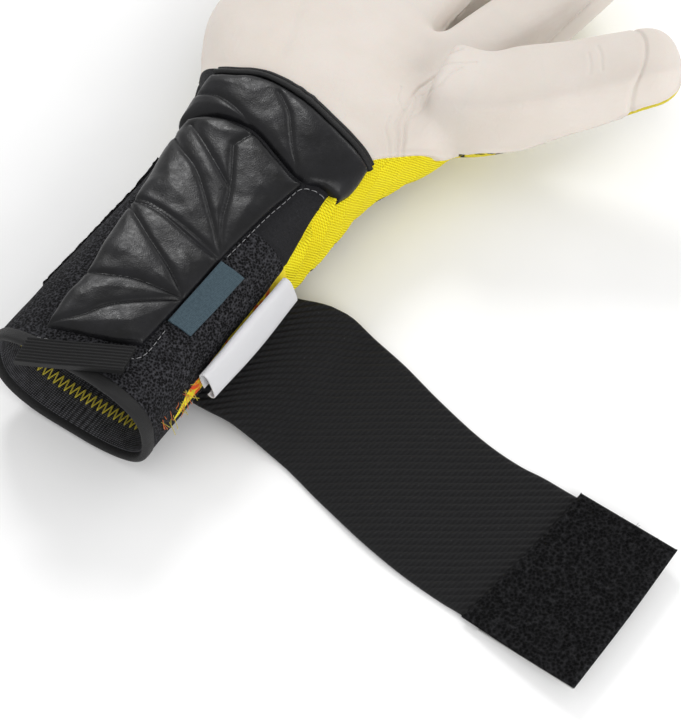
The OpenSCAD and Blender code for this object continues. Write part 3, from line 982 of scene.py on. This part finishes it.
for name, mesh, thickness, material, finer, slot, nodes in (
    ("palm_latex_skin", palm, 4.0, latex, 1, "latex", ("palm_latex", "thumb_collar")),
    ("heel_neoprene_skin", front, 2.0, neoprene, 0, "neoprene", ("heel_neoprene",)),
    ("little_side_gusset_skin", little, 2.0, black_mesh, 0, "mesh", ("little_side_gusset",)),
    ("thumb_side_gusset_skin", low, 2.0, yellow, 1, "mesh", ("thumb_side_gusset",)),
    ("backhand_panel_skin", back, 2.5, printed, 0, "mesh", ("backhand_panel",)),
    ("cuff_knit_top_skin", knit_top, 2.0, terry, 1, "knit", ("cuff_knit_top",)),
    ("cuff_knit_bottom_skin", cuff, 2.0, terry, 0, "knit", ("cuff_knit_bottom",)),
    ("cuff_side_strip_skin", side_strip, 2.0, strip, 1, "mesh", ("cuff_side_strip",)),
):
    finish_piece(skin_piece(name, mesh, thickness, material, finer), nodes, "hand")

# ---- the pads ----------------------------------------------------------------------

def coons(bottom, top, left, right, n, m):
    """A grid of points in the plane between four curves that meet at the corners."""
    b, t, l, r = spline(bottom, m), spline(top, m), spline(left, n), spline(right, n)
    s, v = np.linspace(0, 1, m)[None, :, None], np.linspace(0, 1, n)[:, None, None]
    corner = ((1 - s) * (1 - v) * b[0] + s * (1 - v) * b[-1] + (1 - s) * v * t[0] + s * v * t[-1])
    return (1 - v) * b[None] + v * t[None] + (1 - s) * l[:, None] + s * r[:, None] - corner


def edge_distance(grid, step):
    """Distance of the points of a grid from its outline, of which each step-th point is used."""
    outline = np.vstack([grid[0], grid[:, -1], grid[-1, ::-1], grid[::-1, 0]])
    return distance_to(grid, outline[::step])


def at_height(grid, z):
    """Points over a grid of (x, y) at height z."""
    return np.concatenate([grid, np.broadcast_to(z, grid.shape[:2])[..., None]], -1)


def cloth_place(a, b):
    """Places in the cloth from one coordinate by row and one by column."""
    return np.stack(np.broadcast_arrays(a, b), -1)


PAD_UNDER = 0.4  # how far a pad reaches into the shell


def pad_piece(name, grid, grooves, full):
    """A padded panel on the palm's side: pillows between sewn grooves, on a grid of (x, y)."""
    to_edge = edge_distance(grid, 3)
    to_groove = np.full(grid.shape[:2], 1e9)
    for line in grooves:
        to_groove = np.minimum(to_groove, distance_to(grid, spline(line, 24)))
    rise = 1 - np.exp(-((to_edge / 1.1) ** 0.9))
    pillow = 0.50 + 0.30 * (1 - np.exp(-((to_groove / 0.8) ** 1.1))) \
        + 0.20 * (1 - np.exp(-((np.minimum(to_groove, to_edge) / 8) ** 1.5)))
    flat = at_height(grid, 0.0)
    uneven = 0.16 * noise(flat, 13) + 0.07 * noise(flat, 5)
    height = full * rise * (pillow + uneven * (1 - np.exp(-to_groove / 3)))
    outer = on_top(grid[..., 0], grid[..., 1], -height)
    inner = on_top(grid[..., 0], grid[..., 1], PAD_UNDER)
    obj = sheet_piece(name, outer, inner, pad, cloth=grid)
    return obj


wrist_grid = coons(
    [(-15, -99.5), (-6.5, -96.5), (8, -91.5), (18.5, -86)],
    [(-32, 14.2), (-22, 18.2), (-6, 19.2), (8, 14.2), (18, 10.6), (23.5, 10.4)],
    [(-15, -99.5), (-17, -87), (-18, -71), (-22, -52), (-25, -31), (-28, -18), (-31, -4),
     (-32, 6), (-32, 14.2)],
    [(18.5, -86), (18.8, -72), (19, -53), (19, -36), (20.5, -12), (22, 0), (23.5, 10.4)],
    215, 84)
WRIST_GROOVES = [
    [(-32, 5), (-23, -2), (-11, -9), (5, -24), (18, -37)],
    [(-25, -32), (-18, -31), (-3, -33), (17, -37.5)],
    [(-7, 9), (3.5, -9), (9.5, -23), (18, -37)],
    [(-26, 10), (-9, -1), (3.5, -9)],
    [(-24, -35), (-8, -45), (6.5, -53), (18.5, -61)],
    [(-25, -33), (-12, -33), (9, -38), (18, -39)],
    [(-18, -72), (-9, -68), (0, -64), (18, -61)],
    [(-14.5, -98.5), (-6.5, -89), (0, -78), (18, -61.5)],
    [(-7, 9), (-4, 19.5)],
]
wrist_pad = pad_piece("wrist_pad_cover", wrist_grid, WRIST_GROOVES, 4.4)
finish_piece(wrist_pad, ("wrist_pad",), "hand")
heel_grid = coons(
    [(-36.5, 12), (-31, 15.8), (-22, 19.4), (-6, 20.4), (8, 15.4), (18, 11.9), (24, 11.9),
     (29, 14.8), (35.5, 16)],
    TOP_EDGE, [(-36.5, 12), (-37.5, 20), (-37.5, 30), (-36.5, 37)], [(35.5, 16), (37, 25), (37, 35)],
    48, 130)
heel_pad = pad_piece("heel_pad_cover", heel_grid, [
    [(-7, 40), (1, 34), (5, 29), (12, 20), (20, 12)],
    [(-36, 26), (-26, 27), (-14, 24), (-6, 20)],
], 4.3)
finish_piece(heel_pad, ("heel_pad",), "hand")

# A double rolled edge closes the pads towards the latex
edge_line = spline(TOP_EDGE, 90)
edge_line[:, 1] += 1.2
rolls = []
for shift, radius, height in ((0.3, 1.35, -1.4), (2.5, 1.0, -0.8)):
    x, y = edge_line[:, 0], edge_line[:, 1] + shift
    bump = 0.35 * np.exp(-(((x + 2) / 1.6) ** 2)) + 0.3 * np.exp(-(((x - 4) / 1.4) ** 2))
    waver = 0.18 * noise(np.stack([x, y, 0 * x], -1), 6)
    rolls.append(tube(on_top(x, y, height), radius + waver + bump, 14))
heel_binding = tube_piece("heel_binding_rolls", rolls, binding)
finish_piece(heel_binding, ("heel_binding",), "hand")


STITCH, STITCH_PITCH, STITCH_POINTS = 2.3, 2.8, 12


def stitches(name, line, radius):
    """A row of stitches along a line on the palm's side, each with its ends drawn in."""
    line = np.array(line)
    total = np.linalg.norm(np.diff(line, axis=0), axis=1).sum()
    count = int(total / STITCH_PITCH)
    curve = spline(line, count * STITCH_POINTS + 1)
    parts = []
    for i in range(count):
        first = i * STITCH_POINTS
        span = curve[first:first + int(STITCH_POINTS * STITCH / STITCH_PITCH)]
        dip = 0.5 * (2 * np.linspace(0, 1, len(span)) - 1) ** 4
        parts.append(tube(on_top(span[:, 0], span[:, 1], dip - 0.35), radius, 6))
    finish_piece(tube_piece(name, parts, pale_thread), (), "hand")


stitches("pad_side_stitches",
         [(20.0, -34), (21.2, -12), (22.7, 0), (24.0, 8.5), (28.5, 12.2), (33, 13)], 0.17)
stitches("pad_end_stitches",
         [(-15.5, -104.8), (-6, -101.8), (8.5, -96.8), (20.5, -90.5), (21, -74)], 0.15)

# ---- the mouth of the cuff ---------------------------------------------------------

u_ring = np.arange(0, 360, 1.5)
# Profile of the binding about the knit's edge: station before the mouth and depth
profile = np.array([(3.4, -0.05), (2.8, -0.4), (0.6, -0.45), (-1.0, -0.2), (-1.7, 0.6),
                    (-1.8, 1.3), (-1.3, 2.1), (0.2, 2.5), (2.8, 2.4), (3.2, 1.9), (3.2, 1.0)])
profile = spline(np.vstack([profile, profile[:1]]), 40)[:-1]
ring = shell(-CUFF_LEN, u_ring[None, :], profile[:, 1:2])
wave = 0.35 * noise(np.stack([ring[..., 0], ring[..., 2], 0 * ring[..., 0]], -1), 14)
ring[..., 1] = -CUFF_LEN + profile[:, 0][:, None] + wave
rows, cols = ring.shape[:2]
ring_faces = grid_faces(rows + 1, cols, closed=True) % (rows * cols)
ring_cloth = cloth_place(u_ring[None, :] * RING_CLOTH, np.arange(rows)[:, None] * 0.8)
mouth = build("mouth_binding_band", ring.reshape(-1, 3), ring_faces, binding, ring_cloth.reshape(-1, 2))
finish_piece(mouth, ("mouth_binding",), "hand")


def sleeve(name, y_from, y_to, depth, thickness, material):
    """A closed tube of cloth inside the shell."""
    y, u = np.arange(y_from, y_to + 0.1, 2.0)[:, None], u_ring[None, ::2]
    depth = depth + 0.25 * noise(shell(y, u), 12)
    return sheet_piece(name, shell(y, u, depth), shell(y, u, depth + thickness), material,
                       cloth_place(u * RING_CLOTH, y), closed=True)


finish_piece(sleeve("cuff_facing_sleeve", -107, -82, 2.3, 0.9, facing),
             ("cuff_facing",), "hand")
inner = sleeve("hand_lining_sleeve", -80, 104, 5.6, 0.8, lining)
finish_piece(inner, ("palm_lining", "backhand_lining"), "hand")

# A yellow zigzag holds the facing
ZIGZAG_AT, ZIGZAG_REACH, ZIGZAG_POINTS = -95.0, 2.6, 1300
zigzag = spline(shell(ZIGZAG_AT, np.arange(2, 359, 3.0), 3.7), ZIGZAG_POINTS)
zigzag[:, 1] = ZIGZAG_AT + ZIGZAG_REACH * (np.abs((np.arange(ZIGZAG_POINTS) / 10) % 2 - 1) * 2 - 1)
finish_piece(tube_piece("mouth_zigzag", [tube(zigzag, 0.3, 5)], yellow_thread), (), "hand")

# ---- the pull tab ------------------------------------------------------------------

tab_turn = np.radians(28)
tab_x = np.array([np.cos(tab_turn), np.sin(tab_turn), 0])
tab_y = np.array([-np.sin(tab_turn), np.cos(tab_turn), 0])
s, w = np.meshgrid(np.linspace(-20, 20, 120), np.linspace(-5.5, 5.5, 100), indexing="ij")
ribs = 0.3 * np.cos(2 * math.pi * w / 1.375) + 0.05 * np.cos(2 * math.pi * s / 0.9)
sag = 0.1 * np.sin(s / 5) - 0.2 * (1 - (s / 20) ** 2)
tab = (np.array([0, -100, 50.15]) + (s + 0.3 * w)[..., None] * tab_x + (w - 5.5)[..., None] * tab_y)
lift = np.array([0, 0, 1.0])
pull_tab = sheet_piece("pull_tab_webbing", tab + (0.95 + ribs + sag)[..., None] * lift,
                       tab + (sag - 0.95 - ribs)[..., None] * lift, binding, np.stack([s, w], -1))
finish_piece(pull_tab, ("pull_tab",), "pull_tab")

# ---- the labels --------------------------------------------------------------------

label_grid = coons([(16.6, -71.5), (25.6, -70.5)], [(16.6, -38), (26.2, -37.2)],
                   [(16.6, -71.5), (16.6, -55), (16.6, -38)],
                   [(25.6, -70.5), (26, -55), (26.2, -37.2)], 70, 30)
ripple = 0.12 * np.sin(label_grid[..., 1] / 3.1)
roll_edge = 0.35 * np.exp(-((label_grid[..., 0] - 17) / 0.8) ** 2)
side_label = sheet_piece(
    "side_label_woven", on_top(label_grid[..., 0] + 2.6, label_grid[..., 1], -1.45 - roll_edge - ripple),
    on_top(label_grid[..., 0] + 2.6, label_grid[..., 1], -0.75 - ripple), label_grey, label_grid)
finish_piece(side_label, ("side_label",), "side_label")

# The care label: a flat roll of satin, open on its lower, inner side
roll = np.array([(-2.3, -1.2), (-2.45, 1.0), (-2.3, 3.2), (-1.5, 5.0), (0.3, 5.5), (1.9, 4.6), (2.5, 2.8),
                 (2.6, 0), (2.5, -2.8), (1.8, -4.7), (0.2, -5.4), (-1.2, -5.0), (-1.9, -4.2)])
roll = spline(roll, 70)
along_roll = np.linspace(-77, -23, 60)
bow = 0.4 * np.sin((along_roll + 77) / 54 * math.pi)
flare = 1 + 0.05 * np.cos((along_roll + 50) / 9)


def roll_grid(inset):
    tangent = np.gradient(roll, axis=0)
    normal = np.stack([tangent[:, 1], -tangent[:, 0]], -1)
    normal /= np.linalg.norm(normal, axis=1)[:, None]
    line = roll + inset * normal
    x = 40.6 + flare[:, None] * (0.93 * line[None, :, 0] - 0.40 * line[None, :, 1]) + bow[:, None]
    z = 27.4 + flare[:, None] * (0.40 * line[None, :, 0] + 1.15 * line[None, :, 1])
    return np.stack([x, np.broadcast_to(along_roll[:, None], x.shape), z], -1)


roll_cloth = cloth_place(np.linspace(0, 31, 70)[None, :], along_roll[:, None])
care_label = sheet_piece("care_label_roll", roll_grid(0), roll_grid(0.45), label_white, roll_cloth)
finish_piece(care_label, ("care_label",), "care_label")

# ---- the strap ---------------------------------------------------------------------

# Outline of the undone strap in plan, from the side seam to the patch
UPPER = spline([(33, -16.5), (40, -14), (46, -11), (52, -8.6), (62, -7.4), (84, -12.3),
                (107, -19.4), (130, -25.2), (148, -27.3), (165, -27), (214, -30)], 60)
LOWER = spline([(33, -77), (40, -76.5), (52, -75), (72, -76), (94.5, -82), (116.5, -87.6),
                (136, -91), (154.6, -92.6), (165.4, -93), (213, -96)], 60)
STRAP_THICK = 2.0
SEAM_X, STRAP_END = 33.0, 213.0


def strap_point(x, w):
    """Upper face of the strap at x along it and w from -1 at the lower edge to 1."""
    x, w = np.broadcast_arrays(x, w)
    upper, lower = np.interp(x, *UPPER.T), np.interp(x, *LOWER.T)
    z = rounded(x, [SEAM_X, 46, 68.5, 168, 214], [11.5, 10, 2.1, 2.1, 7.0], 4)
    z = z + 0.5 * np.exp(-(((x - 120) / 30) ** 2)) * (1 + w) / 2
    z = z + 0.35 * np.sin(x / 13.0 + 1.2 * w) * smoothstep(x, 70, 90) * (1 - smoothstep(x, 150, 168))
    return np.stack([x, (upper + lower) / 2 + w * (upper - lower) / 2, z + 0.35], -1)


strap_x = np.arange(SEAM_X, STRAP_END + 0.01, 0.62)
strap_w = np.linspace(-1, 1, 116)
upper_face = strap_point(strap_x[:, None], strap_w[None, :])
base = upper_face.copy()
# The ribs run at an angle to the strap's length and curve in towards the seam
rib_sin, rib_cos = math.sin(math.radians(34)), math.cos(math.radians(34))
curve_in = 9 * np.exp(-(((base[..., 0] - SEAM_X) / 16) ** 2))
rib_phase = (-base[..., 0] * rib_sin + (base[..., 1] + curve_in) * rib_cos) / STRAP_RIB
rib = np.cos(2 * math.pi * rib_phase)
edge_share = np.clip((1 - np.abs(strap_w)) * 32 / 1.3, 0, 1)[None, :] ** 0.5
upper_face[..., 2] += (0.42 * rib + 0.08 * noise(upper_face, 2.2)) * edge_share - 0.55 * (1 - edge_share)
lower_face = at_height(base[..., :2], base[..., 2] - STRAP_THICK + 0.55 * (1 - edge_share))
strap_cloth = np.stack([rib_phase * STRAP_RIB, base[..., 0] * rib_cos + base[..., 1] * rib_sin], -1)
strap_faces = grid_faces(*upper_face.shape[:2])[:, ::-1]
strap_normals = point_normals(upper_face.reshape(-1, 3), strap_faces).reshape(upper_face.shape)
if strap_normals[..., 2].mean() < 0:
    strap_normals = -strap_normals
# The strap's line of folds: its turn in plan, and the five folds' bodies, x and z
STRAP_YAW = math.radians(-6)
half_bend = 6 * np.array([math.cos(STRAP_YAW), math.sin(STRAP_YAW), 0])
folds = [("hand", "strap_root", 46.0, 10.0), ("strap_root", "strap_inner", 68.5, 2.0),
         ("strap_inner", "strap_middle", 99.3, 2.0), ("strap_middle", "strap_outer", 141.1, 2.0),
         ("strap_outer", "strap_end", 168.0, 2.0)]
stretch_nodes = [("strap_anchor", "strap_root"), ("strap_inner",), ("strap_middle",),
                 ("strap_outer",), ("strap_end",)]
cuts = [SEAM_X, 57.0, 84.0, 120.0, 154.0, STRAP_END + 1]
for i, (a, b, x_fold, z_fold) in enumerate(folds):
    first, last = np.searchsorted(strap_x, [cuts[i], cuts[i + 1]])
    chosen = slice(first, min(last + 1, len(strap_x)))
    up, down, nrm, place = (g[chosen] for g in (upper_face, lower_face, strap_normals, strap_cloth))
    faces = grid_faces(*up.shape[:2])
    if point_normals(up.reshape(-1, 3), faces)[:, 2].mean() < 0:
        faces = faces[:, ::-1]
    obj = thick(f"strap_elastic_{i + 1}", up.reshape(-1, 3), down.reshape(-1, 3), faces, elastic,
                nrm.reshape(-1, 3), place.reshape(-1, 2))
    centre = np.array([x_fold, -46 + (x_fold - 46) * math.sin(STRAP_YAW), z_fold])
    finish_piece(obj, stretch_nodes[i], bend=(a, b, centre - half_bend, centre + half_bend))

# ---- the hook patch ------------------------------------------------------------------

def end_slope(grid):
    """Height of the strap's raised end above the last fold, over a grid of (x, y)."""
    return (grid[..., 0] - 168) * math.tan(math.radians(6))


patch_grid = coons([(164.5, -94.2), (190, -97), (214.5, -99)],
                   [(173.5, -25.5), (195, -27.5), (216.5, -29.5)],
                   [(164.5, -94.2), (169.5, -62), (173.5, -25.5)],
                   [(214.5, -99), (216, -64), (216.5, -29.5)], 150, 100)
to_edge = edge_distance(patch_grid, 4)
slope = end_slope(patch_grid) + 2.4
flat = at_height(patch_grid, 0.0)
tuft = 0.40 * noise(flat, 1.3) + 0.25 * noise(flat, 0.7) + 0.2 * noise(flat, 4)
rise = 1 - np.exp(-((to_edge / 0.8) ** 1.2))
patch_top = at_height(patch_grid, slope + 0.5 + 1.35 * rise + tuft * rise)
patch_obj = sheet_piece("hook_patch_field", patch_top, at_height(patch_grid, slope + 0.25),
                        hook, patch_grid)
finish_piece(patch_obj, ("hook_patch",), "strap_end")

fibres = []
for _ in range(2600):
    i, j = RNG.integers(3, patch_grid.shape[0] - 3), RNG.integers(3, patch_grid.shape[1] - 3)
    foot = patch_top[i, j] + [0, 0, -0.25]
    lean = RNG.normal(0, 0.8, 3) * [1, 1, 0.2]
    t = np.linspace(0, 1, 4)[:, None]
    path = foot + t * [0, 0, 1.0] * RNG.uniform(0.6, 1.3) + (t**2) * lean
    fibres.append(tube(path, [0.11, 0.1, 0.08, 0.05], 3))
finish_piece(tube_piece("hook_patch_fibres", fibres, hook), (), "strap_end")

back_grid = coons([(172, -94.5), (190, -96), (213.6, -98)], [(176, -30), (195, -31), (214.8, -32)],
                  [(172, -94.5), (174, -62), (176, -30)], [(213.6, -98), (214.8, -64), (214.8, -32)], 60, 36)
back_slope = end_slope(back_grid) + 0.2
backing_obj = sheet_piece("strap_end_backing_sheet", at_height(back_grid, back_slope + 0.25),
                          at_height(back_grid, back_slope - 0.45), backing, back_grid)
finish_piece(backing_obj, ("strap_end_backing",), "strap_end")

# ---- under the glove -----------------------------------------------------------------

u_patch, y_patch = np.meshgrid(np.linspace(166, 216, 60), np.linspace(-76, -2, 90))
pile = 0.35 * noise(shell(y_patch, u_patch), 1.2)
loop_obj = sheet_piece("loop_patch_field", shell(y_patch, u_patch, -1.35 - pile),
                       shell(y_patch, u_patch, -0.2), loop, np.stack([u_patch * 0.5, y_patch], -1))
finish_piece(loop_obj, ("loop_patch",), "hand")
for name in ("punch_pads", "cuff_badge"):
    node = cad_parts[name]
    node.data.materials.clear()
    node.data.materials.append(rubber)

# Frayed thread ends at the strip's lower end
frays = []
for i in range(26):
    y0, u0 = RNG.uniform(-100, -80), RNG.uniform(-4, 6)
    foot = shell(y0, u0, 0.1)
    out = np.array([1.0, RNG.normal(-0.3, 0.6), RNG.normal(-0.2, 0.5)])
    t = np.linspace(0, 1, 6)[:, None]
    path = foot + t * out * RNG.uniform(1.5, 4.0) + (t**2) * RNG.normal(0, 0.8, 3)
    frays.append(tube(path, 0.14, 4))
finish_piece(tube_piece("frayed_ends", frays[:15], yellow_thread), (), "hand")
finish_piece(tube_piece("frayed_ends_orange", frays[15:], orange_thread), (), "hand")

# ---- floor, lights and camera --------------------------------------------------------

paper = Nodes("floor")
floor_tint = paper.ramp(paper.noise(paper.place(), 0.02, 3), (0.3, (0.93,) * 3), (0.7, (0.95,) * 3))
corners = 3000.0 * np.array([[-1, -1, 0], [1, -1, 0], [1, 1, 0], [-1, 1, 0]])
build("floor", corners, np.array([[0, 1, 2, 3]]),
               paper.done(floor_tint, 0.9, Specular_IOR_Level=0.1))

world = bpy.data.worlds.new("studio")
bpy.context.scene.world = world
world.use_nodes = True
sky = world.node_tree.nodes["Background"]
sky.inputs["Color"].default_value = (1.0, 1.0, 1.0, 1)
sky.inputs["Strength"].default_value = 0.78

TARGET = Vector((0.072, -0.035, 0.020))


def area_light(name, place, size, power):
    data = bpy.data.lights.new(name, "AREA")
    data.shape, data.size, data.energy = "DISK", size, power
    lamp = bpy.data.objects.new(name, data)
    lamp.location = place
    lamp.rotation_mode = "QUATERNION"
    lamp.rotation_quaternion = (TARGET - Vector(place)).to_track_quat("-Z", "Y")
    bpy.context.scene.collection.objects.link(lamp)


area_light("key", (-0.85, 0.9, 1.05), 0.45, 8.5)
area_light("fill", (1.2, -0.5, 0.6), 0.9, 9)
area_light("rim", (0.25, 1.3, 0.5), 0.5, 2)

camera_data = bpy.data.cameras.new("camera")
camera_data.sensor_fit = "AUTO"
camera_data.sensor_width = 36
camera_data.lens = 132.5
camera = bpy.data.objects.new("camera", camera_data)
bpy.context.scene.collection.objects.link(camera)
azimuth, elevation, distance = math.radians(34), math.radians(55), 1.0
away = Vector((math.sin(azimuth) * math.cos(elevation), -math.cos(azimuth) * math.cos(elevation),
               math.sin(elevation)))
camera.location = TARGET + away * distance
camera.rotation_mode = "QUATERNION"
camera.rotation_quaternion = (-away).to_track_quat("-Z", "Y")
bpy.context.scene.camera = camera

bpy.context.scene.view_settings.view_transform = "Standard"
